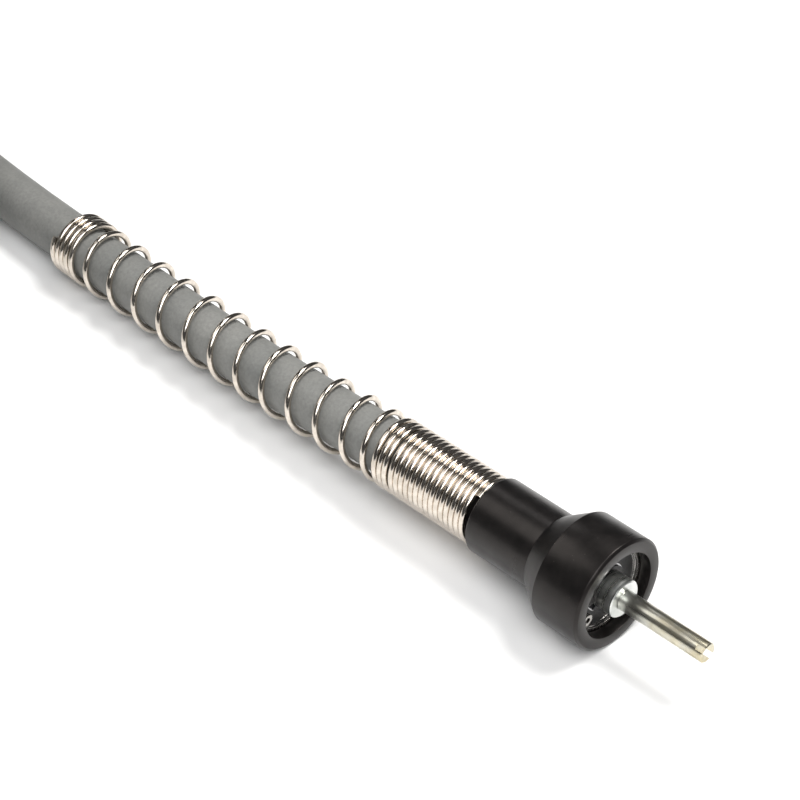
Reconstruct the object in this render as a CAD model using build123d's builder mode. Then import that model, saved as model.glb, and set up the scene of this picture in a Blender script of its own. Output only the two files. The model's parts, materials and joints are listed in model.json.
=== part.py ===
from build123d import *
import os
from math import cos, pi, radians, sin, tan

# Flexible-shaft drain auger, machine end in front. Millimetres, +Z up. +X runs along the drive
# shaft towards its slotted tip. The origin is on the shaft axis, at the mouth of the housing.
# Negative X goes back through the housing, the spring guard and the hose to the coil.

# Fits
seat_gap = 0.01          # radial, pieces fixed in each other
running_gap = 0.03       # radial, shafts turning in bushes
loose_gap = 0.35         # radial, the core inside its tube
fine_chamfer = 0.4       # turned edges that something slides over
overcut = 1.0            # how far a cut runs past the piece's end

# Housing
head_r = 18.3
head_len = 16.8
cone_len = 8.3
barrel_r = 12.5
barrel_len = 23.9
front_chamfer = 0.8
rear_chamfer = 0.6
mouth_depth = 4.0
spigot_len = 14.0

# Ball bearing, 12 x 28 x 8
bearing_bore_r = 6.0
bearing_outer_r = 14.0
bearing_width = 8.0
ring_wall = 2.1
ring_chamfer = 0.5
ball_share = 0.2975      # of the space between bore and outside
ball_count = 8
race_gap = 0.05
seal_thickness = 0.6
seal_step = 0.3
seal_set_in = 0.1
cage_width = 5.6
cage_wall = 1.2
cage_gap = 0.12

# Circlip in the housing bore
bore_clip_width = 1.2
bore_clip_band = 1.9
bore_clip_groove = 0.7
clip_play = 0.05
clip_lug_r = 1.9
clip_lug_drop = 3.3
clip_lug_hole_r = 0.8
clip_gap_angle = 206.0   # degrees from +Y towards +Z
clip_lug_spread = 16.0

# Spindle
flange_gap = 0.2
spindle_flange_len = 1.8
neck_step = 1.0
spindle_neck_len = 14.4
journal_len = 14.2
hub_stand = 2.2
hub_chamfer = 0.35
shaft_clip_width = 1.0
shaft_clip_step = 1.4
shaft_clip_groove = 0.25
shaft_clip_gap = 2.4

# Drive shaft, with a shoulder against the hub, and the spring pin through its seat
drive_r = 3.15
drive_shoulder = 0.45
drive_relief = 0.3
drive_out = 32.7
drive_past_pin = 2.9
drive_slot_width = 1.8
drive_slot_depth = 2.6
drive_slot_angle = 41.0
pin_r = 1.25
pin_wall = 0.3
pin_slot = 0.6
pin_set_in = 0.3
pin_set_back = 2.55

# Flexible core and what holds it
core_r = 3.25
core_set_in = 0.5
ferrule_wall = 1.25
ferrule_gap = 1.7
core_ferrule_len = 13.0
ferrule_end = 1.0
grub_r = 1.5
grub_len = 2.4
grub_socket = 0.8
grub_set_back = 4.3

# Bronze bush behind the spindle's neck
bush_wall = 2.0
bush_len = 10.0
bush_flange_step = 1.0
bush_flange_len = 1.4
bush_play = 0.4
chamber_gap = 0.3
flange_room = 1.2

# Barbed stem under the hose
stem_r = 7.0
stem_front_gap = 1.0
stem_flange_gap = 0.2
stem_flange_len = 1.5
barb_r = 6.3
barb_root_r = 5.7
barb_len = 5.0
barb_count = 4
barb_room = 0.4
ring_groove_depth = 1.2
ring_groove_play = 0.15
ring_section_r = 0.58
ring_set_back = 2.0

# Hose and spring guard
hose_r = 8.9
hose_play = 0.6
guard_wire_r = 0.95
guard_tight_gap = 0.23
guard_open_pitch = 12.9
guard_wire_gap = 0.2
guard_seat_gap = 0.05
corner_share = 0.45      # of a run, taken by the arc at its end

# Coil of the put-away hose, and its straps
turn_gap = 0.2
coil_r = 95.8
coil_start = 84.0
coil_layers = 6
coil_corner_gap = 0.1
strap_thickness = 1.2
strap_width = 20.0
strap_angles = (-20.0, 40.0, 100.0)

# Fitting on the far end
tip_wall = 1.0
tip_housing_len = 20.0
tip_sleeve_len = 18.0
tip_chamber_r = 7.6
tip_chamber_len = 6.0
tip_front_chamfer = 1.2
tip_journal_r = 4.75
tip_bush_r = 6.75
tip_bush_flange_r = 8.0
tip_bush_flange_len = 1.2
tip_head_r = 8.0
tip_head_len = 12.0
tip_head_chamfer = 0.8
tip_socket_r = 4.0
tip_socket_depth = 9.0
tip_core_depth = 10.0
tip_tail_len = 1.2
tip_stem_gap = 0.4
tip_clip_width = 0.8
tip_clip_r = 6.4
tip_clip_groove = 0.25
tip_clip_gap = 2.6
tip_washer_len = 0.6
tip_washer_r = 7.2
tip_play = 0.15
set_screw_r = 2.0
set_screw_set_back = 6.0
set_screw_set_in = 0.4
set_screw_socket = 1.1

# Sizes that follow from the bearing
ball_circle_r = (bearing_bore_r + bearing_outer_r) / 2
ball_r = ball_share * (bearing_outer_r - bearing_bore_r)
outer_land_r = bearing_outer_r - ring_wall
inner_land_r = bearing_bore_r + ring_wall
spindle_flange_r = inner_land_r - flange_gap
spindle_neck_r = bearing_bore_r + neck_step
shaft_clip_r = bearing_bore_r + shaft_clip_step
clip_lug_circle_r = bearing_outer_r - clip_lug_drop
bush_outer_r = bearing_bore_r + bush_wall
bush_flange_r = bush_outer_r + bush_flange_step
chamber_r = bush_flange_r + chamber_gap

# Sizes that follow from the shaft, the core and the hose
drive_seat_r = drive_r - drive_shoulder
core_ferrule_r = core_r + ferrule_wall
stem_flange_r = hose_r - stem_flange_gap
guard_inner_r = hose_r + hose_play
guard_r = guard_inner_r + guard_wire_r
guard_tight_pitch = 2 * guard_wire_r + guard_tight_gap
spigot_r = guard_inner_r - guard_seat_gap
turn_pitch = 2 * hose_r + turn_gap
tip_housing_r = hose_r + tip_wall

# Places along the shaft
floor_z = -head_r
barrel_back = -(head_len + cone_len + barrel_len)
spigot_back = barrel_back - spigot_len
clip_front = -mouth_depth
clip_back = clip_front - bore_clip_width
bearing_front = clip_back - clip_play
bearing_back = bearing_front - bearing_width
flange_back = bearing_back - spindle_flange_len
neck_back = flange_back - spindle_neck_len
journal_back = neck_back - journal_len
bush_front = neck_back - bush_play
bush_back = bush_front - bush_flange_len - bush_len
stem_front = journal_back - stem_front_gap
hose_front = spigot_back - stem_flange_len
stem_back = hose_front - barb_count * barb_len
pin_x = flange_back - pin_set_back
drive_back = pin_x - drive_past_pin
ferrule_front = drive_back - ferrule_gap
ferrule_back = ferrule_front - core_ferrule_len
grub_x = ferrule_front - grub_set_back
head_chamber_back = flange_back - flange_room

# The hose from the stem to the coil: through the guard, down to the floor and round to the coil.
coil_base_z = floor_z + strap_thickness
lead_points = [
    (hose_front, 0, 0),
    (-92, 0, 0),
    (-127, 0.9, -2.5),
    (-165, 2.2, -4.7),
    (-204, 4.1, -6.0),
    (-246, 6.5, -7.3),
    (-299, 10.7, -9.0),
    (-350, 16.0, -8.2),
]

# The hose from the coil's top layer round on to the top of the coil, ending along +X.
tail_points = [
    (-416.9, -1.0, 81.8),
    (-452.1, -42.1, 85.0),
    (-457.5, -96.5, 93.0),
    (-432.8, -144.9, 99.8),
    (-387, -171.3, 100.9),
    (-337, -171.3, 100.9),
]

# The guard's centre line: straight off the spigot, then a little above the hose, which sags in it.
guard_points = [
    (barrel_back, 0, 0),
    (-89, 0, 0),
    (-168, 2.3, -4.4),
    (-243, 6.2, -6.8),
    (-251.5, 6.9, -6.9),
]
guard_pitches = (guard_tight_pitch, guard_open_pitch, guard_open_pitch, guard_tight_pitch)

coil_axis = Axis(
    (
        lead_points[-1][0] - coil_r * cos(radians(coil_start)),
        lead_points[-1][1] - coil_r * sin(radians(coil_start)),
        0,
    ),
    (0, 0, 1),
)
coil_width = 2 * hose_r
coil_height = (coil_layers - 1) * turn_pitch + 2 * hose_r
coil_corner_r = hose_r - coil_corner_gap
coil_mid_z = coil_base_z + coil_height / 2

tip_place = Vector(*tail_points[-1])
tip_axis = Axis(tip_place, (1, 0, 0))
tip_plane = Plane(origin=tip_place, x_dir=(1, 0, 0), z_dir=(0, -1, 0))
tip_bush_back = tip_chamber_len
tip_bush_front = tip_housing_len + tip_bush_flange_len
tip_head_back = tip_bush_front + tip_play
tip_head_front = tip_head_back + tip_head_len
tip_washer_front = tip_bush_back - tip_play
tip_clip_front = tip_washer_front - tip_washer_len
tip_clip_back = tip_clip_front - tip_clip_width
tip_spindle_back = tip_clip_back - tip_tail_len
tip_stem_front = tip_spindle_back - tip_stem_gap
tip_stem_back = -barb_count * barb_len
set_screw_x = tip_place.X + tip_head_front - set_screw_set_back


def outline(*points, plane=Plane.XZ):
    with BuildSketch(plane) as face:
        with BuildLine():
            Polyline(*points, close=True)
        make_face()
    return face.sketch


def band(inner, outer, back, front, plane=Plane.XZ):
    return outline((back, inner), (front, inner), (front, outer), (back, outer), plane=plane)


def barbs(front, step):
    # Each barb rises towards the hose's mouth and drops sharply. step is the way into the hose.
    points = []
    for count in range(barb_count):
        start = front + count * barb_len * step
        points.append((start, barb_r))
        points.append((start + barb_len * step, barb_root_r))
    return points


def corner_radii(points):
    radii = []
    for before, corner, after in zip(points, points[1:], points[2:]):
        first_run = Vector(*corner) - Vector(*before)
        second_run = Vector(*after) - Vector(*corner)
        turn = radians(first_run.get_angle(second_run))
        radii.append(corner_share * min(first_run.length, second_run.length) / tan(turn / 2))
    return radii


def route(points):
    with BuildLine() as path:
        FilletPolyline(*points, radius=corner_radii(points))
    return path.wire()


def save(piece, label):
    piece.part.label = label
    export_step(piece.part, f"parts/{label}.step")


os.makedirs("parts", exist_ok=True)

# Coupling body: head, cone and barrel, bored from the front, with the spigot behind.
groove_r = bearing_outer_r + bore_clip_groove
with BuildPart() as coupling_body:
    revolve(
        outline(
            (0, bearing_outer_r),
            (0, head_r - front_chamfer),
            (-front_chamfer, head_r),
            (-head_len, head_r),
            (-(head_len + cone_len), barrel_r),
            (barrel_back + rear_chamfer, barrel_r),
            (barrel_back, barrel_r - rear_chamfer),
            (barrel_back, spigot_r),
            (spigot_back, spigot_r),
            (spigot_back, stem_r),
            (bush_back, stem_r),
            (bush_back, bush_outer_r),
            (bush_front - bush_flange_len, bush_outer_r),
            (bush_front - bush_flange_len, chamber_r),
            (head_chamber_back, chamber_r),
            (head_chamber_back, outer_land_r),
            (bearing_back, outer_land_r),
            (bearing_back, bearing_outer_r),
            (clip_back - clip_play, bearing_outer_r),
            (clip_back - clip_play, groove_r),
            (clip_front + clip_play, groove_r),
            (clip_front + clip_play, bearing_outer_r),
        ),
        axis=Axis.X,
    )
save(coupling_body, "coupling_body")

# Bearing rings, each with its ball groove and the steps that take the seals.
bearing_mid = (bearing_front + bearing_back) / 2
race_r = ball_r + race_gap
seal_seat_r = outer_land_r + seal_step
seal_lip_r = inner_land_r - seal_step
seal_reach = seal_thickness + 2 * seal_set_in
with BuildPart() as bearing_outer_ring:
    revolve(
        outline(
            (bearing_front, seal_seat_r),
            (bearing_front, bearing_outer_r - ring_chamfer),
            (bearing_front - ring_chamfer, bearing_outer_r - seat_gap),
            (bearing_back + ring_chamfer, bearing_outer_r - seat_gap),
            (bearing_back, bearing_outer_r - ring_chamfer),
            (bearing_back, seal_seat_r),
            (bearing_back + seal_reach, seal_seat_r),
            (bearing_back + seal_reach, outer_land_r),
            (bearing_front - seal_reach, outer_land_r),
            (bearing_front - seal_reach, seal_seat_r),
        ),
        axis=Axis.X,
    )
    with BuildSketch(Plane.XZ):
        with Locations((bearing_mid, ball_circle_r)):
            Circle(race_r)
    revolve(axis=Axis.X, mode=Mode.SUBTRACT)
save(bearing_outer_ring, "bearing_outer_ring")

with BuildPart() as bearing_inner_ring:
    revolve(
        outline(
            (bearing_front, bearing_bore_r + seat_gap),
            (bearing_front, seal_lip_r),
            (bearing_front - seal_reach, seal_lip_r),
            (bearing_front - seal_reach, inner_land_r),
            (bearing_back + seal_reach, inner_land_r),
            (bearing_back + seal_reach, seal_lip_r),
            (bearing_back, seal_lip_r),
            (bearing_back, bearing_bore_r + seat_gap),
        ),
        axis=Axis.X,
    )
    with BuildSketch(Plane.XZ):
        with Locations((bearing_mid, ball_circle_r)):
            Circle(race_r)
    revolve(axis=Axis.X, mode=Mode.SUBTRACT)
save(bearing_inner_ring, "bearing_inner_ring")

ball_plane = Plane.YZ.offset(bearing_mid)
with BuildPart() as bearing_balls:
    with Locations(ball_plane):
        with PolarLocations(ball_circle_r, ball_count):
            Sphere(ball_r)
save(bearing_balls, "bearing_balls")

pocket_len = cage_wall + 2 * overcut
with BuildPart() as bearing_cage:
    revolve(
        band(
            ball_circle_r - cage_wall / 2,
            ball_circle_r + cage_wall / 2,
            bearing_mid - cage_width / 2,
            bearing_mid + cage_width / 2,
        ),
        axis=Axis.X,
    )
    with Locations(ball_plane):
        with PolarLocations(ball_circle_r, ball_count):
            Cylinder(ball_r + cage_gap, pocket_len, rotation=(0, 90, 0), mode=Mode.SUBTRACT)
save(bearing_cage, "bearing_cage")

for side, seal_front in (
    ("front", bearing_front - seal_set_in),
    ("rear", bearing_back + seal_set_in + seal_thickness),
):
    with BuildPart() as seal:
        revolve(
            band(
                seal_lip_r + running_gap,
                seal_seat_r - seat_gap,
                seal_front - seal_thickness,
                seal_front,
            ),
            axis=Axis.X,
        )
    save(seal, f"bearing_{side}_seal")

# Circlip in the housing bore: a sprung band that ends in two lugs with eyes.
clip_outer_r = groove_r - seat_gap
clip_inner_r = clip_outer_r - bore_clip_band
lug_angles = (clip_gap_angle - clip_lug_spread, clip_gap_angle + clip_lug_spread)
lug_width = 2 * clip_lug_r
clip_opening = 2 * clip_lug_circle_r * sin(radians(clip_lug_spread)) - lug_width
clip_plane = Plane.YZ.offset(clip_back)
with BuildPart() as bore_circlip:
    with BuildSketch(clip_plane):
        Circle(clip_outer_r)
        Circle(clip_inner_r, mode=Mode.SUBTRACT)
        with PolarLocations(clip_inner_r, 1, start_angle=clip_gap_angle):
            Rectangle(2 * clip_inner_r - lug_width, clip_opening, mode=Mode.SUBTRACT)
        for angle in lug_angles:
            with PolarLocations((clip_lug_circle_r + clip_inner_r) / 2, 1, start_angle=angle):
                Rectangle(clip_inner_r - clip_lug_circle_r + bore_clip_band, lug_width)
            with PolarLocations(clip_lug_circle_r, 1, start_angle=angle):
                Circle(clip_lug_r)
                Circle(clip_lug_hole_r, mode=Mode.SUBTRACT)
    extrude(amount=bore_clip_width)
save(bore_circlip, "bore_circlip")

# Spindle: hub in front, flange behind the bearing, neck for the pin and the grub screws, and the
# journal that runs in the bush. Bored from the front for the drive shaft, from behind for the core.
drive_bore_r = drive_seat_r + seat_gap
ferrule_bore_r = core_ferrule_r + seat_gap
shaft_clip_back = bearing_front
shaft_clip_front = shaft_clip_back + shaft_clip_width
shaft_groove_r = bearing_bore_r - shaft_clip_groove
with BuildPart() as spindle:
    revolve(
        outline(
            (hub_stand, drive_bore_r),
            (hub_stand, bearing_bore_r - hub_chamfer),
            (hub_stand - hub_chamfer, bearing_bore_r),
            (shaft_clip_front + clip_play, bearing_bore_r),
            (shaft_clip_front + clip_play, shaft_groove_r),
            (shaft_clip_back, shaft_groove_r),
            (shaft_clip_back, bearing_bore_r),
            (bearing_back, bearing_bore_r),
            (bearing_back, spindle_flange_r),
            (flange_back, spindle_flange_r),
            (flange_back, spindle_neck_r),
            (neck_back, spindle_neck_r),
            (neck_back, bearing_bore_r),
            (journal_back, bearing_bore_r),
            (journal_back, ferrule_bore_r),
            (ferrule_front, ferrule_bore_r),
            (ferrule_front, drive_bore_r),
        ),
        axis=Axis.X,
    )
    with BuildSketch(Plane.XY):
        with Locations((pin_x, 0)):
            Circle(pin_r + seat_gap)
        with Locations((grub_x, 0)):
            Circle(grub_r + seat_gap)
    extrude(amount=spindle_neck_r, both=True, mode=Mode.SUBTRACT)
save(spindle, "spindle")

# Circlip on the spindle, in front of the bearing's inner ring.
shaft_clip_cut = 2 * (shaft_clip_r - shaft_groove_r + shaft_clip_groove)
with BuildPart() as spindle_circlip:
    with BuildSketch(Plane.YZ.offset(shaft_clip_back)):
        Circle(shaft_clip_r)
        Circle(shaft_groove_r + seat_gap, mode=Mode.SUBTRACT)
        with PolarLocations(shaft_clip_r, 1, start_angle=clip_gap_angle):
            Rectangle(shaft_clip_cut, shaft_clip_gap, mode=Mode.SUBTRACT)
    extrude(amount=shaft_clip_width)
save(spindle_circlip, "spindle_circlip")

# Drive shaft: a plain rod with a slot across its tip, its turned-down seat pinned in the spindle.
with BuildPart() as drive_shaft:
    revolve(
        outline(
            (drive_back, 0),
            (drive_out, 0),
            (drive_out, drive_r - fine_chamfer),
            (drive_out - fine_chamfer, drive_r),
            (hub_stand + drive_relief, drive_r),
            (hub_stand + drive_relief, drive_seat_r),
            (drive_back, drive_seat_r),
        ),
        axis=Axis.X,
    )
    with BuildSketch(Plane.YZ.offset(drive_out)):
        Rectangle(drive_slot_width, 2 * drive_r + overcut, rotation=drive_slot_angle)
    extrude(amount=-drive_slot_depth, mode=Mode.SUBTRACT)
    with BuildSketch(Plane.XY):
        with Locations((pin_x, 0)):
            Circle(pin_r + seat_gap)
    extrude(amount=drive_r, both=True, mode=Mode.SUBTRACT)
save(drive_shaft, "drive_shaft")

# Spring pin through the spindle's neck and the drive shaft.
with BuildPart() as drive_pin:
    with BuildSketch(Plane.XY):
        with Locations((pin_x, 0)):
            Circle(pin_r)
            Circle(pin_r - pin_wall, mode=Mode.SUBTRACT)
        with Locations((pin_x + pin_r, 0)):
            Rectangle(2 * pin_wall + pin_slot, pin_wall, mode=Mode.SUBTRACT)
    extrude(amount=spindle_neck_r - pin_set_in, both=True)
save(drive_pin, "drive_pin")

# Ferrule swaged on the core's front end, and the two grub screws that hold it.
core_bore_r = core_r + seat_gap
with BuildPart() as core_ferrule:
    revolve(
        outline(
            (ferrule_front, 0),
            (ferrule_front, core_ferrule_r - fine_chamfer),
            (ferrule_front - fine_chamfer, core_ferrule_r),
            (ferrule_back, core_ferrule_r),
            (ferrule_back, core_bore_r),
            (ferrule_front - ferrule_end, core_bore_r),
            (ferrule_front - ferrule_end, 0),
        ),
        axis=Axis.X,
    )
save(core_ferrule, "core_ferrule")

grub_planes = [Plane.XY.offset(core_ferrule_r), Plane.XY.offset(-core_ferrule_r)]
with BuildPart() as core_grub_screws:
    for side, plane in zip((1, -1), grub_planes):
        with BuildSketch(plane):
            with Locations((grub_x, 0)):
                Circle(grub_r)
        extrude(amount=side * grub_len)
        with BuildSketch(plane.offset(side * grub_len)):
            with Locations((grub_x, 0)):
                RegularPolygon(grub_socket, 6)
        extrude(amount=-side * grub_len / 2, mode=Mode.SUBTRACT)
save(core_grub_screws, "core_grub_screws")

# The core's straight front end, in the ferrule and through the stem.
with BuildPart() as flexible_core:
    revolve(band(0, core_r, stem_back + core_set_in, ferrule_front - ferrule_end), axis=Axis.X)
save(flexible_core, "flexible_core")

# Flanged bronze bush in the barrel.
with BuildPart() as spindle_bush:
    revolve(
        outline(
            (bush_front, bearing_bore_r + running_gap),
            (bush_front, bush_flange_r),
            (bush_front - bush_flange_len, bush_flange_r),
            (bush_front - bush_flange_len, bush_outer_r - seat_gap),
            (bush_back, bush_outer_r - seat_gap),
            (bush_back, bearing_bore_r + running_gap),
        ),
        axis=Axis.X,
    )
save(spindle_bush, "spindle_bush")

# Barbed stem, screwed into the spigot, and its sealing ring.
stem_bore_r = core_r + loose_gap
stem_fit_r = stem_r - seat_gap
ring_mid = stem_front - ring_set_back
ring_groove_half = ring_section_r + ring_groove_play
ring_groove_r = stem_fit_r - ring_groove_depth
with BuildPart() as hose_stem:
    revolve(
        outline(
            (stem_front, stem_bore_r),
            (stem_front, stem_fit_r),
            (ring_mid + ring_groove_half, stem_fit_r),
            (ring_mid + ring_groove_half, ring_groove_r),
            (ring_mid - ring_groove_half, ring_groove_r),
            (ring_mid - ring_groove_half, stem_fit_r),
            (spigot_back, stem_fit_r),
            (spigot_back, stem_flange_r),
            (hose_front, stem_flange_r),
            *barbs(hose_front, -1),
            (stem_back, stem_bore_r),
        ),
        axis=Axis.X,
    )
save(hose_stem, "hose_stem")

with BuildPart() as stem_ring:
    with BuildSketch(Plane.XZ):
        with Locations((ring_mid, ring_groove_r + ring_section_r + seat_gap)):
            Circle(ring_section_r)
    revolve(axis=Axis.X)
save(stem_ring, "stem_ring")

# Spring guard: round wire, wound tight on the spigot, open along the hose and tight at its end.
# Each stretch goes on from the wire's last point, a hair's breadth on.
turn_share = guard_wire_gap / (2 * pi * guard_r)
wire_end = Vector(barrel_back - guard_wire_r, -guard_r, 0)
with BuildPart() as spring_guard:
    for start, end, pitch in zip(guard_points, guard_points[1:], guard_pitches):
        along = (Vector(*end) - Vector(*start)).normalized()
        outward = wire_end - Vector(*start)
        outward = (outward - along * outward.dot(along)).normalized()
        centre = wire_end - outward * guard_r
        run = (Vector(*end) - centre).dot(along)
        turns_place = Plane(origin=centre, x_dir=outward, z_dir=along)
        turns = Helix(pitch, run - pitch * turn_share, guard_r, mode=Mode.PRIVATE)
        wire_path = turns.moved(turns_place.location)
        with BuildSketch(Plane(origin=wire_path @ 0, z_dir=wire_path % 0)):
            Circle(guard_wire_r)
        sweep(path=wire_path, is_frenet=True)
        wire_end = wire_path @ 1 + (wire_path % 1) * guard_wire_gap
save(spring_guard, "spring_guard")

# Hose: a plain tube to the coil, bored at the front for the stem.
hose_bore_r = barb_r + seat_gap
lead_route = route(lead_points)
print("lead radii", [round(r) for r in corner_radii(lead_points)])
with BuildPart() as hose_lead:
    with BuildSketch(Plane(origin=lead_route @ 0, z_dir=lead_route % 0)):
        Circle(hose_r)
    sweep(path=lead_route)
    print("lead volume", hose_lead.part.volume / (pi * hose_r**2 * lead_route.length))
    revolve(
        band(0, hose_bore_r, stem_back - barb_room, hose_front + overcut),
        axis=Axis.X,
        mode=Mode.SUBTRACT,
    )
save(hose_lead, "hose_lead")

# The coil of put-away hose, as one ring of its outer shape.
coil_centre = coil_axis.position
with BuildPart() as hose_coil:
    with BuildSketch(Plane(origin=coil_centre, x_dir=(1, 0, 0), z_dir=(0, -1, 0))):
        with Locations((coil_r, coil_mid_z)):
            RectangleRounded(coil_width, coil_height, coil_corner_r)
    revolve(axis=coil_axis)
save(hose_coil, "hose_coil")

tail_route = route(tail_points)
print("tail radii", [round(r) for r in corner_radii(tail_points)])
with BuildPart() as hose_tail:
    with BuildSketch(Plane(origin=tail_route @ 0, z_dir=tail_route % 0)):
        Circle(hose_r)
    sweep(path=tail_route)
    print("tail volume", hose_tail.part.volume / (pi * hose_r**2 * tail_route.length))
    revolve(
        band(0, hose_bore_r, tip_stem_back - barb_room, overcut, plane=tip_plane),
        axis=tip_axis,
        mode=Mode.SUBTRACT,
    )
save(hose_tail, "hose_tail")

# Straps round the coil's section.
strap_arc = 360 * strap_width / (2 * pi * coil_r)
for number, angle in enumerate(strap_angles, start=1):
    start = radians(angle - strap_arc / 2)
    across = (cos(start), sin(start), 0)
    around = (sin(start), -cos(start), 0)
    with BuildPart() as strap:
        with BuildSketch(Plane(origin=coil_centre, x_dir=across, z_dir=around)):
            with Locations((coil_r, coil_mid_z)):
                RectangleRounded(
                    coil_width + 2 * strap_thickness,
                    coil_height + 2 * strap_thickness,
                    coil_corner_r + strap_thickness,
                )
                RectangleRounded(
                    coil_width + 2 * seat_gap,
                    coil_height + 2 * seat_gap,
                    coil_corner_r + seat_gap,
                    mode=Mode.SUBTRACT,
                )
        revolve(axis=coil_axis, revolution_arc=strap_arc)
    save(strap, f"coil_strap_{number}")

# Far end: sleeve and housing in one, the stem inside the hose, and the turning socket.
with BuildPart() as tip_housing:
    revolve(
        outline(
            (-tip_sleeve_len, hose_r + seat_gap),
            (0, hose_r + seat_gap),
            (0, tip_chamber_r),
            (tip_chamber_len, tip_chamber_r),
            (tip_chamber_len, tip_bush_r),
            (tip_housing_len, tip_bush_r),
            (tip_housing_len, tip_housing_r - tip_front_chamfer),
            (tip_housing_len - tip_front_chamfer, tip_housing_r),
            (-tip_sleeve_len + fine_chamfer, tip_housing_r),
            (-tip_sleeve_len, tip_housing_r - fine_chamfer),
            plane=tip_plane,
        ),
        axis=tip_axis,
    )
save(tip_housing, "tip_housing")

with BuildPart() as tip_stem:
    revolve(
        outline(
            (tip_stem_front, stem_bore_r),
            (tip_stem_front, tip_chamber_r - seat_gap),
            (0, tip_chamber_r - seat_gap),
            *barbs(0, -1),
            (tip_stem_back, stem_bore_r),
            plane=tip_plane,
        ),
        axis=tip_axis,
    )
save(tip_stem, "tip_stem")

with BuildPart() as tip_bush:
    revolve(
        outline(
            (tip_bush_back, tip_journal_r + running_gap),
            (tip_bush_front, tip_journal_r + running_gap),
            (tip_bush_front, tip_bush_flange_r),
            (tip_housing_len, tip_bush_flange_r),
            (tip_housing_len, tip_bush_r - seat_gap),
            (tip_bush_back, tip_bush_r - seat_gap),
            plane=tip_plane,
        ),
        axis=tip_axis,
    )
save(tip_bush, "tip_bush")

tip_groove_r = tip_journal_r - tip_clip_groove
tip_core_front = tip_spindle_back + tip_core_depth
tip_socket_back = tip_head_front - tip_socket_depth
with BuildPart() as tip_spindle:
    revolve(
        outline(
            (tip_spindle_back, core_bore_r),
            (tip_spindle_back, tip_journal_r),
            (tip_clip_back, tip_journal_r),
            (tip_clip_back, tip_groove_r),
            (tip_clip_front, tip_groove_r),
            (tip_clip_front, tip_journal_r),
            (tip_head_back, tip_journal_r),
            (tip_head_back, tip_head_r - fine_chamfer),
            (tip_head_back + fine_chamfer, tip_head_r),
            (tip_head_front - tip_head_chamfer, tip_head_r),
            (tip_head_front, tip_head_r - tip_head_chamfer),
            (tip_head_front, tip_socket_r),
            (tip_socket_back, tip_socket_r),
            (tip_socket_back, 0),
            (tip_core_front, 0),
            (tip_core_front, core_bore_r),
            plane=tip_plane,
        ),
        axis=tip_axis,
    )
    with BuildSketch(Plane.XY.offset(tip_place.Z)):
        with Locations((set_screw_x, tip_place.Y)):
            Circle(set_screw_r + seat_gap)
    extrude(amount=tip_head_r, mode=Mode.SUBTRACT)
save(tip_spindle, "tip_spindle")

with BuildPart() as tip_set_screw:
    with BuildSketch(Plane.XY.offset(tip_place.Z + tip_socket_r + set_screw_set_in)):
        with Locations((set_screw_x, tip_place.Y)):
            Circle(set_screw_r)
            RegularPolygon(set_screw_socket, 6, mode=Mode.SUBTRACT)
    extrude(amount=tip_head_r - tip_socket_r - 2 * set_screw_set_in)
save(tip_set_screw, "tip_set_screw")

with BuildPart() as tip_washer:
    revolve(
        band(
            tip_journal_r + running_gap,
            tip_washer_r,
            tip_clip_front,
            tip_washer_front,
            plane=tip_plane,
        ),
        axis=tip_axis,
    )
save(tip_washer, "tip_washer")

tip_clip_cut = 2 * (tip_clip_r - tip_groove_r) + overcut
with BuildPart() as tip_circlip:
    with BuildSketch(Plane.YZ.offset(tip_place.X + tip_clip_back)):
        with Locations((tip_place.Y, tip_place.Z)):
            Circle(tip_clip_r)
            Circle(tip_groove_r + seat_gap, mode=Mode.SUBTRACT)
        with Locations((tip_place.Y + tip_clip_r, tip_place.Z)):
            Rectangle(tip_clip_cut, tip_clip_gap, mode=Mode.SUBTRACT)
    extrude(amount=tip_clip_width)
save(tip_circlip, "tip_circlip")

with BuildPart() as tip_core:
    revolve(
        band(0, core_r, tip_stem_back + core_set_in, tip_core_front, plane=tip_plane),
        axis=tip_axis,
    )
save(tip_core, "tip_core")
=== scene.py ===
import bpy
import json
from math import cos, pi, radians, sin
import numpy as np
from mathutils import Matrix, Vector
from mathutils.geometry import convex_hull_2d

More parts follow.
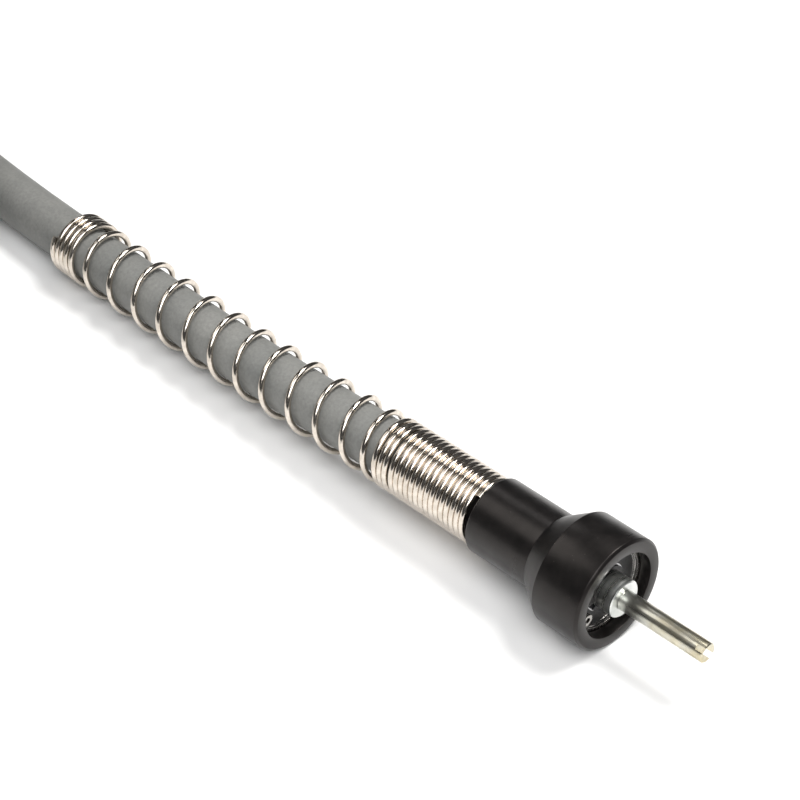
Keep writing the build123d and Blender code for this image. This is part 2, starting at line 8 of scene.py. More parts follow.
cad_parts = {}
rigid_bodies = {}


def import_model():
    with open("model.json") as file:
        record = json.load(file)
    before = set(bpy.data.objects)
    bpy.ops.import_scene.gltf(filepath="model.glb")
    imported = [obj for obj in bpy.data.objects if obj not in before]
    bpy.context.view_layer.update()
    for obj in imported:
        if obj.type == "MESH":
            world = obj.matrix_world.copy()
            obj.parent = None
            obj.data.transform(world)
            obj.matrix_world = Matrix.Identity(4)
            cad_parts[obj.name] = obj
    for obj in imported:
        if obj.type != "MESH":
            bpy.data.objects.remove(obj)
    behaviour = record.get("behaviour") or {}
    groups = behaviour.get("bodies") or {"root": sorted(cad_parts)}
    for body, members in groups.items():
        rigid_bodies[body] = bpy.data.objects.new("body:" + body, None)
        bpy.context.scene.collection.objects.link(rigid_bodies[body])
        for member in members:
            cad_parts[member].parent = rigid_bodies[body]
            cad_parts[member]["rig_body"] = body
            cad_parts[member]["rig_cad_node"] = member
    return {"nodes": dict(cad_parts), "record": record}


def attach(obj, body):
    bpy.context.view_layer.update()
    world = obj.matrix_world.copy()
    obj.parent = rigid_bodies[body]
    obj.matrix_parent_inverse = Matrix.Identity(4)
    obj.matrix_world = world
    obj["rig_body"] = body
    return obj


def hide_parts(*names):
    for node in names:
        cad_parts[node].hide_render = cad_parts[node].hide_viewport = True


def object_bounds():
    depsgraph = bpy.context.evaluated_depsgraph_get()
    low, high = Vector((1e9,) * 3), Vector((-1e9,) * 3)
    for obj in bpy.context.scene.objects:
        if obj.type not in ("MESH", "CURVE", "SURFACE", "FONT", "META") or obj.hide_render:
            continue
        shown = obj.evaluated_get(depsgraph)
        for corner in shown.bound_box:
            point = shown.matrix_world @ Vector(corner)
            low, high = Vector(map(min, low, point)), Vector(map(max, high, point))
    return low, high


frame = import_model()
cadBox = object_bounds()
nodes = frame["nodes"]
mm = 0.001
bpy.context.scene.view_settings.view_transform = "Standard"


# small helpers used all the way down

def clearSelection():
    if bpy.context.object and bpy.context.object.mode != "OBJECT":
        bpy.ops.object.mode_set(mode="OBJECT")
    bpy.ops.object.select_all(action="DESELECT")


def takeUp(piece):
    clearSelection()
    piece.select_set(True)
    bpy.context.view_layer.objects.active = piece
    return piece


def settle(piece, angle=32):
    # place goes into the mesh, then smooth shading that keeps the sharp edges
    takeUp(piece)
    bpy.ops.object.transform_apply(location=True, rotation=True, scale=True)
    bpy.ops.object.shade_smooth_by_angle(angle=radians(angle))
    return piece


def softenEdges(piece, width, angle=30):
    takeUp(piece)
    edge = piece.modifiers.new("edges", "BEVEL")
    edge.limit_method = "ANGLE"
    edge.angle_limit = radians(angle)
    edge.width = width * mm
    edge.segments = 2
    bpy.ops.object.modifier_apply(modifier=edge.name)
    return piece


def cutAway(piece, cutter):
    takeUp(piece)
    cut = piece.modifiers.new("cut", "BOOLEAN")
    cut.operation = "DIFFERENCE"
    cut.solver = "EXACT"
    cut.object = cutter
    bpy.ops.object.modifier_apply(modifier=cut.name)
    bpy.data.objects.remove(cutter)
    return piece


def turnOnLathe(name, outline, steps, place=(0, 0, 0)):
    # outline is (along the shaft, radius) in millimetres; laid point by point, then spun round X
    clearSelection()
    start = Vector((outline[0][0], 0, outline[0][1])) * mm + Vector(place)
    bpy.ops.mesh.primitive_plane_add(size=mm, location=start)
    piece = bpy.context.object
    piece.name = piece.data.name = name
    bpy.ops.object.mode_set(mode="EDIT")
    bpy.ops.mesh.merge(type="CENTER")
    for before, after in zip(outline, outline[1:] + outline[:1]):
        step = Vector((after[0] - before[0], 0, after[1] - before[1])) * mm
        bpy.ops.mesh.extrude_region_move(TRANSFORM_OT_translate={"value": step})
    bpy.ops.mesh.select_all(action="SELECT")
    bpy.ops.mesh.remove_doubles(threshold=1e-6)
    bpy.ops.mesh.select_all(action="SELECT")
    bpy.ops.mesh.spin(steps=steps, angle=2 * pi, center=place, axis=(1, 0, 0))
    bpy.ops.mesh.select_all(action="SELECT")
    bpy.ops.mesh.remove_doubles(threshold=1e-6)
    bpy.ops.mesh.normals_make_consistent(inside=False)
    bpy.ops.object.mode_set(mode="OBJECT")
    return piece


# camera

cameraView = {
    "place": (0.3210, -0.4095, 0.4913),
    "aim": (-0.1064, 0.0186, 0.0),
    "lens": 112.5,
    "sensor": 36,
}

bpy.ops.object.camera_add(location=cameraView["place"])
camera = bpy.context.object
camera.name = "camera"
sight = Vector(cameraView["aim"]) - Vector(cameraView["place"])
camera.rotation_euler = sight.to_track_quat("-Z", "Y").to_euler()
camera.data.lens = cameraView["lens"]
camera.data.sensor_width = cameraView["sensor"]
bpy.context.scene.camera = camera
print("camera placed")


# the hose: through the guard, along the floor, round the coil and out to the far fitting

hose = {
    "radius": 0.0089,
    "lead": [(-0.0645, 0, 0), (-0.092, 0, 0), (-0.127, 0.0009, -0.0022), (-0.165, 0.0022, -0.0042),
             (-0.204, 0.0041, -0.0055), (-0.246, 0.0065, -0.0068), (-0.299, 0.0107, -0.0088),
             (-0.350, 0.0160, -0.0082)],
    "tail": [(-0.4169, -0.0010, 0.0818), (-0.4521, -0.0421, 0.0850), (-0.4575, -0.0965, 0.0930),
             (-0.4328, -0.1449, 0.0998), (-0.387, -0.1713, 0.1009), (-0.337, -0.1713, 0.1009)],
    "turnRadius": 0.0958,
    "floorTurn": -0.0082,    # height of the lowest turn's middle
    "turnPitch": 0.018,
    "windIn": 84,            # degrees where the hose meets the coil
    "firstClimb": 410,       # degrees where it has climbed on to its first turn
    "climbLength": 160,
    "climbSooner": 32,       # each later climb comes this much sooner in its turn
    "climbs": 5,
    "windOut": 1926,         # degrees where it leaves, a little over five turns on
    "step": 15,
    "reach": 1.0086,         # control points stand this much outside the turns
    "length": 3.62,
    "smoothness": 6,
    "sides": 7,
}
hose["coilCentre"] = (hose["lead"][-1][0] - hose["turnRadius"] * cos(radians(hose["windIn"])),
                      hose["lead"][-1][1] - hose["turnRadius"] * sin(radians(hose["windIn"])))


def coilPoint(angle):
    # a stack of turns a diameter apart, each lying on the one before
    layer = 0
    for climb in range(hose["climbs"]):
        done = hose["firstClimb"] + climb * (360 - hose["climbSooner"])
        share = min(max((angle - done) / hose["climbLength"] + 1, 0), 1)
        layer += share * share * (3 - 2 * share)
    turn = radians(angle)
    x = hose["coilCentre"][0] + hose["turnRadius"] * hose["reach"] * cos(turn)
    y = hose["coilCentre"][1] + hose["turnRadius"] * hose["reach"] * sin(turn)
    return (x, y, hose["floorTurn"] + layer * hose["turnPitch"])


turnAngles = range(hose["windIn"] + hose["step"], hose["windOut"], hose["step"])
hosePoints = hose["lead"] + [coilPoint(angle) for angle in turnAngles] + hose["tail"]


def laySpline(name, points, kind, bevel, sides):
    curve = bpy.data.curves.new(name, "CURVE")
    curve.dimensions = "3D"
    spline = curve.splines.new(kind)
    spline.points.add(len(points) - 1)
    for place, point in zip(points, spline.points):
        point.co = (*place, 1)
    if kind == "NURBS":
        spline.order_u = 3
        spline.use_endpoint_u = True
        spline.resolution_u = hose["smoothness"]
    curve.bevel_depth = bevel
    curve.bevel_resolution = sides
    curve.use_fill_caps = bevel > 0
    piece = bpy.data.objects.new(name, curve)
    bpy.context.scene.collection.objects.link(piece)
    return piece


def readLine(points):
    # the smooth line that a NURBS spline makes of these points
    probe = laySpline("probe", points, "NURBS", 0, 0)
    line = bpy.data.meshes.new_from_object(probe)
    places = np.array([tuple(v.co) for v in line.vertices])
    bpy.data.meshes.remove(line)
    bpy.data.objects.remove(probe)
    return places


hoseTube = laySpline("hose", hosePoints, "NURBS", hose["radius"], hose["sides"])
print("hose laid,", len(hosePoints), "points")


# spring guard: one wire, tight on the spigot, open along the hose, tight again for its last turns

guard = {
    "wireRadius": 1.04,
    "turnRadius": 10.5,
    "front": -49.0,          # the barrel's rear face
    "straight": 40.0,        # on the spigot
    "lift": 0.62,            # past it, the hose sags to the low side of the turns
    "liftOver": 100.0,       # and comes to that little by little
    "perTurn": 48,
    "lookAhead": 4.0,        # the wire is square to the hose between points this far off
    "sides": 3,
    "edge": 0.12,
    # turns counted on the side away from +Y, and how far behind the barrel each one is
    "turns": (0.17, 1, 15, 16, 18, 19, 20, 21, 22, 23, 24, 25, 26, 27, 28, 29, 30, 31, 32, 33, 34, 35.1),
    "behind": (1.1, 2.85, 32.05, 34.95, 39.15, 43.9, 53.2, 65.3, 78.0, 90.6, 103.2, 115.8, 128.7, 142.4,
               155.6, 169.0, 182.6, 191.3, 193.8, 196.3, 198.8, 201.6),
}


def windGuard():
    line = readLine(hosePoints)
    line = np.vstack([[(guard["front"] * mm, 0, 0)], line])
    runs = np.linalg.norm(np.diff(line, axis=0), axis=1)
    along = np.concatenate([[0], np.cumsum(runs)])
    count = int((guard["turns"][-1] - guard["turns"][0]) * guard["perTurn"])
    turn = np.linspace(guard["turns"][0], guard["turns"][-1], count)
    behind = np.interp(turn, guard["turns"], guard["behind"])
    reach = guard["perTurn"] // 4    # a running mean over half a turn
    padded = np.pad(behind, reach, mode="reflect", reflect_type="odd")
    behind = np.convolve(padded, np.ones(2 * reach + 1) / (2 * reach + 1), mode="valid") * mm

    def onHose(further=0.0):
        return np.stack([np.interp(behind + further * mm, along, line[:, i]) for i in range(3)], axis=1)

    way = onHose(guard["lookAhead"]) - onHose(-guard["lookAhead"])
    way /= np.linalg.norm(way, axis=1)[:, None]
    side = np.cross((0, 0, 1), way)
    side /= np.linalg.norm(side, axis=1)[:, None]
    up = np.cross(way, side)
    eased = np.clip((behind / mm - guard["straight"]) / guard["liftOver"], 0, 1)[:, None]
    centre = onHose() + up * guard["lift"] * mm * eased
    angle = (turn * 2 * pi)[:, None]
    wire = centre + guard["turnRadius"] * mm * (np.cos(angle) * side + np.sin(angle) * up)
    return [tuple(p) for p in wire]


guardWire = laySpline("springGuard", windGuard(), "POLY", guard["wireRadius"] * mm, guard["sides"])
takeUp(guardWire)
bpy.ops.object.convert(target="MESH")
guardWire = bpy.context.object
softenEdges(guardWire, guard["edge"], 60)
settle(guardWire, 50)
print("spring guard wound,", len(guardWire.data.polygons), "faces")


# coupling body: head, cone and barrel in one, bored through

body = {
    "outline": [(0, 14.0), (0, 17.5), (-0.8, 18.3), (-16.8, 18.3), (-25.1, 12.5), (-48.4, 12.5),
                (-49.0, 11.9), (-49.0, 9.45), (-63.0, 9.45), (-63.0, 7.0), (-41.25, 7.0), (-41.25, 8.0),
                (-31.25, 8.0), (-31.25, 9.3), (-16.25, 9.3), (-16.25, 11.9), (-13.25, 11.9),
                (-13.25, 14.0), (-5.25, 14.0), (-5.25, 14.7), (-3.95, 14.7), (-3.95, 14.0)],
    "steps": 160,
    "edge": 0.12,
}

couplingBody = turnOnLathe("couplingBody", body["outline"], body["steps"])
softenEdges(couplingBody, body["edge"])
settle(couplingBody)
print("coupling body turned,", len(couplingBody.data.polygons), "faces")


# drive shaft: rod with a cross slot, its seat turned down to go into the hub

drive = {
    "outline": [(-20.5, 0), (-20.5, 2.7), (2.5, 2.7), (2.5, 3.15), (32.4, 3.15), (32.7, 2.85), (32.7, 0)],
    "tipAt": 32.7,
    "slotWidth": 1.8,
    "slotDepth": 2.6,
    "slotAngle": 41,
    "cutterSpan": 9.0,       # right across the rod
    "steps": 96,
    "edge": 0.1,
}

driveRod = turnOnLathe("driveRod", drive["outline"], drive["steps"])
clearSelection()
bpy.ops.mesh.primitive_cube_add(
    size=1, location=(drive["tipAt"] * mm, 0, 0), rotation=(radians(drive["slotAngle"]), 0, 0),
    scale=(2 * drive["slotDepth"] * mm, drive["slotWidth"] * mm, drive["cutterSpan"] * mm))
cutAway(driveRod, bpy.context.object)
softenEdges(driveRod, drive["edge"])
settle(driveRod)
print("drive shaft turned and slotted")


# circlip in the recess, from its own plate with the corners broken

brokenCorners = {"circlip": 0.12, "setScrew": 0.1, "flat": 2}


def breakCorners(name, node, width):
    clearSelection()
    piece = nodes[node].copy()
    piece.data = nodes[node].data.copy()
    piece.name = piece.data.name = name
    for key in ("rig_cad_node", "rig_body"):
        if key in piece:
            del piece[key]
    piece.parent = None
    bpy.context.scene.collection.objects.link(piece)
    takeUp(piece)
    bpy.ops.object.mode_set(mode="EDIT")
    bpy.ops.mesh.select_all(action="SELECT")
    bpy.ops.mesh.customdata_custom_splitnormals_clear()
    bpy.ops.mesh.remove_doubles(threshold=2e-6)
    bpy.ops.mesh.dissolve_limited(angle_limit=radians(brokenCorners["flat"]))
    bpy.ops.object.mode_set(mode="OBJECT")
    softenEdges(piece, width, 40)
    settle(piece)
    return piece


circlip = breakCorners("recessCirclip", "bore_circlip", brokenCorners["circlip"])
print("circlip made")


# straps round the coil, each following the turns that it ties

strap = {
    "angles": (-20, 40, 100),
    "thickness": 1.1,
    "width": 20.0,
    "gap": 0.04,             # to the hose
    "around": 120,
    "rows": 8,
    "edge": 0.25,
}


def turnsAt(angle):
    # where the hose's turns cross the strap's plane, as (outwards, height)
    places = range(angle, hose["windOut"] + 1, 360)
    return [(hose["turnRadius"], coilPoint(place)[2]) for place in places if place >= hose["windIn"]]


def evenLoop(corners, count):
    loop = np.array(corners + corners[:1])
    runs = np.concatenate([[0], np.cumsum(np.linalg.norm(np.diff(loop, axis=0), axis=1))])
    marks = np.linspace(0, runs[-1], count, endpoint=False)
    return np.stack([np.interp(marks, runs, loop[:, i]) for i in range(2)], axis=1), runs[-1]


def tieStrap(number, angle):
    gap = hose["radius"] + (strap["thickness"] / 2 + strap["gap"]) * mm
    ring = []
    for out, z in turnsAt(angle):
        ring += [(out + gap * cos(radians(a)), z + gap * sin(radians(a))) for a in range(0, 360, 10)]
    corners = [ring[i] for i in convex_hull_2d([Vector(p) for p in ring])]
    loop, around = evenLoop(corners, strap["around"])
    turn = radians(angle)
    out = Vector((cos(turn), sin(turn), 0))
    across = Vector((-sin(turn), cos(turn), 0))
    middle = Vector((*hose["coilCentre"], 0))
    clearSelection()
    bpy.ops.mesh.primitive_circle_add(vertices=strap["around"], radius=0.03)
    piece = bpy.context.object
    piece.name = piece.data.name = f"coilStrap{number}"
    for vertex, (ahead, z) in zip(piece.data.vertices, loop):
        vertex.co = middle + out * float(ahead) + Vector((0, 0, float(z))) - across * strap["width"] / 2 * mm
    bpy.ops.object.mode_set(mode="EDIT")
    bpy.ops.mesh.select_all(action="SELECT")
    rowWidth = strap["width"] / strap["rows"] * mm
    for _ in range(strap["rows"]):
        bpy.ops.mesh.extrude_region_move(TRANSFORM_OT_translate={"value": across * rowWidth})
    bpy.ops.mesh.select_all(action="SELECT")
    bpy.ops.mesh.normals_make_consistent(inside=False)
    bpy.ops.object.mode_set(mode="OBJECT")
    weave = piece.data.uv_layers.new(name="weave")
    rowLength = strap["around"]
    for face in piece.data.polygons:
        columns = [piece.data.loops[i].vertex_index % rowLength for i in face.loop_indices]
        wraps = max(columns) - min(columns) > 2
        for i, column in zip(face.loop_indices, columns):
            row = piece.data.loops[i].vertex_index // rowLength
            if wraps and column == 0:
                column = rowLength
            weave.data[i].uv = (column * around / rowLength, row * rowWidth)
    wall = piece.modifiers.new("wall", "SOLIDIFY")
    wall.thickness = strap["thickness"] * mm
    wall.offset = 0
    takeUp(piece)
    bpy.ops.object.modifier_apply(modifier=wall.name)
    softenEdges(piece, strap["edge"], 50)
    return settle(piece, 40)


coilStraps = [tieStrap(i + 1, angle) for i, angle in enumerate(strap["angles"])]
print("straps tied")


# far end: crimped sleeve and the turning socket with its set screw

tip = {
    "place": hose["tail"][-1],
    "sleeve": [(-18.0, 8.91), (0, 8.91), (0, 7.6), (6.0, 7.6), (6.0, 6.75), (20.0, 6.75), (20.0, 8.7),
               (18.8, 9.9), (4.5, 9.9), (4.1, 9.5), (3.2, 9.5), (2.8, 9.9),
               (-3.0, 9.9), (-3.6, 9.45), (-5.0, 9.45), (-5.6, 9.9), (-9.4, 9.9), (-10.0, 9.45),
               (-11.4, 9.45), (-12.0, 9.9), (-17.6, 9.9), (-18.0, 9.5)],
    "socket": [(2.4, 3.26), (2.4, 4.75), (4.45, 4.75), (4.45, 4.5), (5.25, 4.5), (5.25, 4.75), (21.35, 4.75),
               (21.35, 7.6), (21.75, 8.0), (24.0, 8.0), (24.3, 7.7), (24.9, 7.7), (25.2, 8.0), (32.55, 8.0),
               (33.35, 7.2), (33.35, 4.3), (33.05, 4.0), (24.35, 4.0), (24.35, 0), (12.4, 0), (12.4, 3.26)],
    "sleeveSteps": 112,
    "sleeveEdge": 0.12,
    "socketSteps": 96,
    "socketEdge": 0.1,
    "hole": (27.35, 0, 6.0),    # middle of the set screw's hole
    "holeRadius": 2.01,
    "holeDepth": 6.0,
    "holeSteps": 48,
}

tipSleeve = turnOnLathe("tipSleeve", tip["sleeve"], tip["sleeveSteps"], tip["place"])
softenEdges(tipSleeve, tip["sleeveEdge"])
settle(tipSleeve)
tipSocket = turnOnLathe("tipSocket", tip["socket"], tip["socketSteps"], tip["place"])
clearSelection()
bpy.ops.mesh.primitive_cylinder_add(vertices=tip["holeSteps"], radius=tip["holeRadius"] * mm,
                                    depth=tip["holeDepth"] * mm,
                                    location=Vector(tip["place"]) + Vector(tip["hole"]) * mm)
cutAway(tipSocket, bpy.context.object)
softenEdges(tipSocket, tip["socketEdge"])
settle(tipSocket)
setScrew = breakCorners("tipSetScrew", "tip_set_screw", brokenCorners["setScrew"])
print("far fitting made")


# finishes; patterns are in the object's own metres, and the weave in metres along the strap

def newFinish(name, metal, rough):
    finish = bpy.data.materials.new(name)
    finish.use_nodes = True
    tree = finish.node_tree
    shader = tree.nodes["Principled BSDF"]
    shader.inputs["Metallic"].default_value = metal
    shader.inputs["Roughness"].default_value = rough
    return finish, tree, shader


def addNode(tree, kind, links=(), **settings):
    node = tree.nodes.new(kind)
    for key, value in settings.items():
        if hasattr(node, key) and key not in node.inputs:
            setattr(node, key, value)
        else:
            node.inputs[key].default_value = value
    for socket, source in dict(links).items():
        tree.links.new(source, node.inputs[socket])
    return node


def objectPlace(tree, stretch=(1, 1, 1)):
    place = addNode(tree, "ShaderNodeTexCoord")
    return addNode(tree, "ShaderNodeMapping", {"Vector": place.outputs["Object"]}, Scale=stretch).outputs[0]


def noise(tree, place, scale, detail=3.0, rough=0.55, distort=0.0):
    return addNode(tree, "ShaderNodeTexNoise", {"Vector": place}, Scale=scale, Detail=detail, Roughness=rough,
                   Distortion=distort).outputs["Fac"]


def blendTones(tree, factor, dark, light, low=0.35, high=0.65):
    ramp = addNode(tree, "ShaderNodeValToRGB", {"Fac": factor})
    ramp.color_ramp.elements[0].position = low
    ramp.color_ramp.elements[0].color = (*dark, 1)
    ramp.color_ramp.elements[1].position = high
    ramp.color_ramp.elements[1].color = (*light, 1)
    return ramp.outputs["Color"]


def mixColours(tree, factor, first, second, blend="MIX"):
    # a Mix node's colour sockets are 6 and 7 in and 2 out; what isn't a socket is set as a value
    mix = addNode(tree, "ShaderNodeMix", data_type="RGBA", blend_type=blend)
    for number, source in ((0, factor), (6, first), (7, second)):
        if isinstance(source, bpy.types.NodeSocket):
            tree.links.new(source, mix.inputs[number])
        else:
            mix.inputs[number].default_value = source
    return mix.outputs[2]


def span(tree, factor, low, high, fromLow=0.3, fromHigh=0.7):
    return addNode(tree, "ShaderNodeMapRange", {"Value": factor}, **{
        "From Min": fromLow, "From Max": fromHigh, "To Min": low, "To Max": high}).outputs["Result"]


def addBump(tree, shader, height, strength, depth, under=None):
    bump = addNode(tree, "ShaderNodeBump", {"Height": height}, Strength=strength, Distance=depth)
    if under:
        tree.links.new(under, bump.inputs["Normal"])
    tree.links.new(bump.outputs["Normal"], shader.inputs["Normal"])
    return bump.outputs["Normal"]


anodised = {
    "dark": (0.0042, 0.0038, 0.0038),
    "light": (0.0085, 0.0076, 0.0074),
    "speck": (0.055, 0.05, 0.046),
    "rough": (0.27, 0.34),
    "turningLines": (5200, 30, 30),
    "specular": 0.3,
    "tint": (1.0, 0.92, 0.88),
}


def anodisedBlack():
    finish, tree, shader = newFinish("anodisedBlack", 0.0, 0.3)
    place = objectPlace(tree)
    tones = blendTones(tree, noise(tree, place, 240, 5), anodised["dark"], anodised["light"])
    specks = blendTones(tree, noise(tree, place, 1500, 1, 0.4), (0, 0, 0), (1, 1, 1), 0.80, 0.84)
    speckled = mixColours(tree, specks, tones, (*anodised["speck"], 1))
    tree.links.new(speckled, shader.inputs["Base Color"])
    rough = span(tree, noise(tree, objectPlace(tree, (260, 60, 60)), 1, 4), *anodised["rough"])
    tree.links.new(rough, shader.inputs["Roughness"])
    addBump(tree, shader, noise(tree, objectPlace(tree, anodised["turningLines"]), 1, 3), 0.12, 3e-6)
    shader.inputs["Specular IOR Level"].default_value = anodised["specular"]
    shader.inputs["Specular Tint"].default_value = (*anodised["tint"], 1)
    return finish


def turnedMetal(name, dark, light, rough, lines=(2600, 20, 20), bump=0.25, metal=1.0):
    finish, tree, shader = newFinish(name, metal, rough)
    place = objectPlace(tree)
    tones = blendTones(tree, noise(tree, place, 300, 4), dark, light)
    tree.links.new(tones, shader.inputs["Base Color"])
    marks = noise(tree, objectPlace(tree, lines), 1, 3)
    tree.links.new(span(tree, marks, rough * 0.75, rough * 1.3), shader.inputs["Roughness"])
    addBump(tree, shader, marks, bump, 5e-6)
    return finish


nickel = {"dark": (0.55, 0.495, 0.43), "light": (0.71, 0.65, 0.58), "rough": (0.09, 0.2)}


def nickelPlate():
    finish, tree, shader = newFinish("nickelPlate", 1.0, 0.14)
    place = objectPlace(tree)
    tones = blendTones(tree, noise(tree, place, 500, 4), nickel["dark"], nickel["light"])
    tree.links.new(tones, shader.inputs["Base Color"])
    rough = span(tree, noise(tree, place, 1500, 3), *nickel["rough"])
    tree.links.new(rough, shader.inputs["Roughness"])
    addBump(tree, shader, noise(tree, place, 2400, 2), 0.12, 6e-6)
    return finish


zinc = {
    "clean": ((0.50, 0.52, 0.50), (0.64, 0.65, 0.63)),
    # painted reflection: these yellow tones stand for a reflection on the zinc near the tip
    "paintedReflectionYellow": ((0.42, 0.35, 0.19), (0.60, 0.54, 0.38)),
    "yellowFrom": 0.004,     # along the shaft; painted reflection, yellow patches that are full at yellowTo
    "yellowTo": 0.030,
    "rough": (0.26, 0.34),
    "drawnLines": (60, 3000, 3000),
}


def zincPlate():
    finish, tree, shader = newFinish("zincPlate", 1.0, 0.26)
    place = objectPlace(tree)
    clean = blendTones(tree, noise(tree, place, 420, 4), *zinc["clean"])
    # painted reflection: yellow patches mixed over the clean zinc, more of them towards the tip
    paintedReflectionYellow = blendTones(tree, noise(tree, place, 260, 3, distort=0.8), *zinc["paintedReflectionYellow"])
    split = addNode(tree, "ShaderNodeSeparateXYZ", {"Vector": place})
    towardTip = span(tree, split.outputs["X"], 0.25, 1.5, zinc["yellowFrom"], zinc["yellowTo"])
    patches = noise(tree, place, 180, 3)
    paintedReflectionMask = addNode(tree, "ShaderNodeMath", {0: towardTip, 1: patches}, operation="MULTIPLY").outputs[0]
    tree.links.new(mixColours(tree, paintedReflectionMask, clean, paintedReflectionYellow), shader.inputs["Base Color"])
    drawn = noise(tree, objectPlace(tree, zinc["drawnLines"]), 1, 3)
    tree.links.new(span(tree, drawn, *zinc["rough"]), shader.inputs["Roughness"])
    addBump(tree, shader, drawn, 0.06, 3e-6)
    return finish


greyRubber = {
    "dark": (0.165, 0.168, 0.162),
    "light": (0.215, 0.215, 0.205),
    "mottle": ((0.80, 0.80, 0.80), (1.12, 1.12, 1.11)),
    "rough": (0.52, 0.68),
    "specular": 0.35,
}


def hoseRubber():
    finish, tree, shader = newFinish("hoseRubber", 0.0, 0.6)
    place = objectPlace(tree)
    broad = noise(tree, place, 55, 4, 0.6)
    fine = noise(tree, place, 950, 5, 0.7)
    tones = blendTones(tree, broad, greyRubber["dark"], greyRubber["light"], 0.3, 0.7)
    mottled = blendTones(tree, fine, *greyRubber["mottle"], 0.3, 0.7)
    tree.links.new(mixColours(tree, 1.0, tones, mottled, "MULTIPLY"), shader.inputs["Base Color"])
    tree.links.new(span(tree, fine, *greyRubber["rough"]), shader.inputs["Roughness"])
    under = addBump(tree, shader, noise(tree, place, 3200, 3), 0.25, 3e-5)
    addBump(tree, shader, fine, 0.2, 1.2e-4, under)
    shader.inputs["Specular IOR Level"].default_value = greyRubber["specular"]
    return finish


def mouldedRubber(name, tone, rough):
    finish, tree, shader = newFinish(name, 0.0, rough)
    place = objectPlace(tree)
    light = tuple(2.2 * t for t in tone)
    tree.links.new(blendTones(tree, noise(tree, place, 700, 4), tone, light), shader.inputs["Base Color"])
    worn = span(tree, noise(tree, place, 1800, 2), rough - 0.1, rough + 0.08)
    tree.links.new(worn, shader.inputs["Roughness"])
    addBump(tree, shader, noise(tree, place, 4200, 2), 0.2, 2e-5)
    return finish


webbing = {"dark": (0.012, 0.012, 0.013), "light": (0.045, 0.045, 0.047), "threads": 420.0, "sheen": 0.4}


def strapWeave():
    finish, tree, shader = newFinish("strapWeave", 0.0, 0.85)
    thread = addNode(tree, "ShaderNodeUVMap", uv_map="weave").outputs["UV"]
    along, over = [addNode(tree, "ShaderNodeTexWave", {"Vector": thread}, Scale=webbing["threads"],
                           Distortion=0.6, bands_direction=way).outputs["Fac"] for way in ("X", "Y")]
    weave = addNode(tree, "ShaderNodeMath", {0: along, 1: over}, operation="MULTIPLY").outputs[0]
    tones = blendTones(tree, weave, webbing["dark"], webbing["light"], 0.1, 0.7)
    tree.links.new(tones, shader.inputs["Base Color"])
    addBump(tree, shader, weave, 0.6, 2.5e-4)
    shader.inputs["Sheen Weight"].default_value = webbing["sheen"]
    return finish


def coreWire():
    finish, tree, shader = newFinish("coreWire", 1.0, 0.35)
    place = objectPlace(tree)
    tones = blendTones(tree, noise(tree, place, 900, 4), (0.16, 0.15, 0.14), (0.36, 0.35, 0.33))
    tree.links.new(tones, shader.inputs["Base Color"])
    coils = addNode(tree, "ShaderNodeTexWave", {"Vector": place}, Scale=300.0, bands_direction="X")
    addBump(tree, shader, coils.outputs["Fac"], 0.8, 4e-4)
    return finish


finishes = {
    "anodised": anodisedBlack(),
    "bearing_steel": turnedMetal("groundSteel", (0.38, 0.38, 0.39), (0.6, 0.6, 0.6), 0.22),
    "seal_rubber": mouldedRubber("sealRubber", (0.01, 0.01, 0.01), 0.5),
    "cage_steel": turnedMetal("pressedSteel", (0.35, 0.33, 0.3), (0.5, 0.48, 0.45), 0.35, (400, 400, 400)),
    "clip_steel": turnedMetal("springSteel", (0.34, 0.33, 0.31), (0.50, 0.48, 0.46), 0.22,
                              (700, 700, 700), 0.08),
    "zinc": zincPlate(),
    "nickel": nickelPlate(),
    "bronze": turnedMetal("sinteredBronze", (0.34, 0.21, 0.09), (0.55, 0.37, 0.18), 0.42,
                          (3000, 3000, 3000), 0.4),
    "core_wire": coreWire(),
    "steel": turnedMetal("turnedSteel", (0.42, 0.42, 0.42), (0.62, 0.61, 0.6), 0.28),
    "ring_rubber": mouldedRubber("ringRubber", (0.006, 0.006, 0.006), 0.4),
    "hose_rubber": hoseRubber(),
    "strap_fabric": strapWeave(),
    "black_oxide": turnedMetal("blackOxide", (0.012, 0.012, 0.014), (0.04, 0.038, 0.036), 0.38,
                               (1800, 1800, 1800), 0.3, 0.7),
}

hubFinish = turnedMetal("platedHub", (0.58, 0.60, 0.58), (0.74, 0.75, 0.73), 0.3, (1400, 40, 40), 0.06)

for part in frame["record"]["subparts"]:
    mesh = nodes[part["node"]].data
    mesh.materials.clear()
    mesh.materials.append(hubFinish if part["node"] == "spindle" else finishes[part["material_slot"]])

newPieces = {
    "anodised": [couplingBody, tipSleeve],
    "zinc": [driveRod, tipSocket],
    "nickel": [guardWire],
    "hose_rubber": [hoseTube],
    "clip_steel": [circlip],
    "black_oxide": [setScrew],
    "strap_fabric": coilStraps,
}
for slotName, pieces in newPieces.items():
    for piece in pieces:
        piece.data.materials.clear()
        piece.data.materials.append(finishes[slotName])


# what each piece moves with; the CAD parts that the new pieces take the place of are hidden

for piece in (couplingBody, guardWire, circlip, tipSleeve, hoseTube, *coilStraps):
    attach(piece, "housing")
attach(driveRod, "drive_line")
for piece in (tipSocket, setScrew):
    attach(piece, "tool_socket")

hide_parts("coupling_body")
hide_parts("drive_shaft")
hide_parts("bore_circlip")
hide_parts("spring_guard")
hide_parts("hose_lead", "hose_coil", "hose_tail")
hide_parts("tip_housing")
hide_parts("tip_spindle")
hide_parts("tip_set_screw")
for number, piece in enumerate(coilStraps, start=1):
    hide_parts(f"coil_strap_{number}")


# floor and light

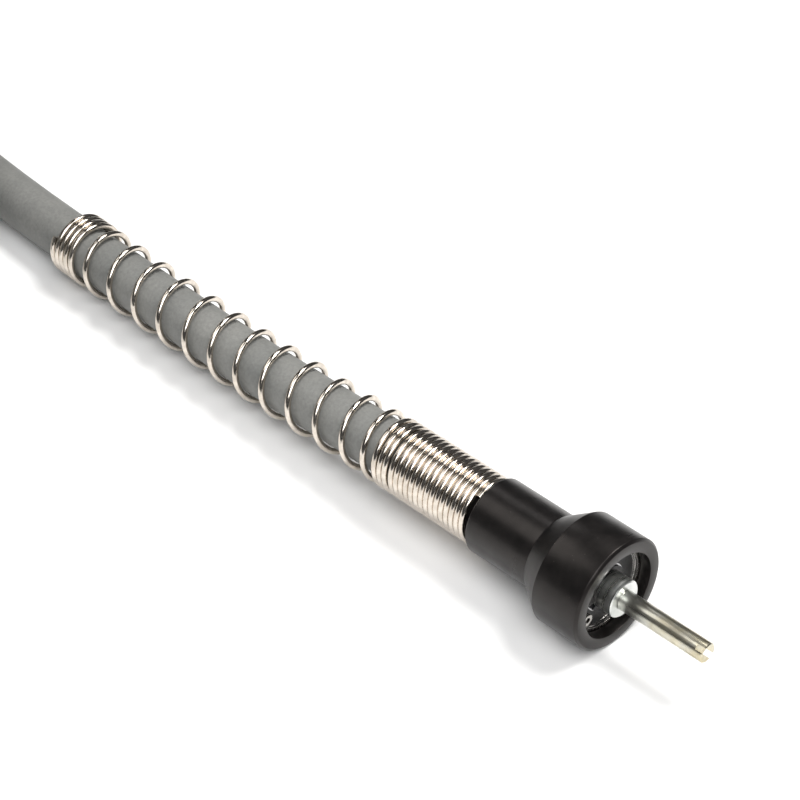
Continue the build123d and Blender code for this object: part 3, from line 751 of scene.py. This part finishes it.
ground = {
    "size": 14,
    "below": 0.05,           # under the object's lowest point
    "dark": (0.84, 0.84, 0.84),
    "light": (0.87, 0.87, 0.87),
    "rough": 0.62,
    "specular": 0.2,
}

clearSelection()
bpy.ops.mesh.primitive_plane_add(size=ground["size"], location=(0, 0, cadBox[0].z - ground["below"] * mm))
floor = bpy.context.object
floor.name = "floor"
floorFinish, floorTree, floorShader = newFinish("floorFinish", 0.0, ground["rough"])
floorPatches = noise(floorTree, objectPlace(floorTree), 9, 3)
floorTones = blendTones(floorTree, floorPatches, ground["dark"], ground["light"])
floorTree.links.new(floorTones, floorShader.inputs["Base Color"])
floorShader.inputs["Specular IOR Level"].default_value = ground["specular"]
floor.data.materials.append(floorFinish)

softboxes = {
    "key": {"place": (0.25, 0.75, 1.65), "size": (0.9, 0.7), "power": 34, "tint": (1.0, 0.985, 0.96)},
    "left": {"place": (-1.0, -0.45, 1.2), "size": (0.9, 0.85), "power": 5.2, "tint": (1.0, 0.98, 0.95)},
    "overhead": {"place": (0.75, -0.75, 1.5), "size": (1.5, 1.6), "power": 36, "tint": (1.0, 1.0, 1.0)},
    "back": {"place": (-1.3, 0.75, 1.35), "size": (0.5, 0.35), "power": 1.4, "tint": (1.0, 1.0, 1.0)},
}
boxAim = Vector((-0.12, 0, 0))

for name, box in softboxes.items():
    bpy.ops.object.light_add(type="AREA", location=box["place"])
    lamp = bpy.context.object
    lamp.name = name
    lamp.data.shape = "RECTANGLE"
    lamp.data.size, lamp.data.size_y = box["size"]
    lamp.data.energy = box["power"]
    lamp.data.color = box["tint"]
    lamp.rotation_euler = (boxAim - Vector(box["place"])).to_track_quat("-Z", "Y").to_euler()

roomLight = {"colour": (0.95, 0.97, 1.0), "strength": 0.07}

studio = bpy.data.worlds.new("studio")
bpy.context.scene.world = studio
studio.use_nodes = True
glow = studio.node_tree.nodes["Background"]
glow.inputs["Color"].default_value = (*roomLight["colour"], 1)
glow.inputs["Strength"].default_value = roomLight["strength"]
print("floor and lights set")
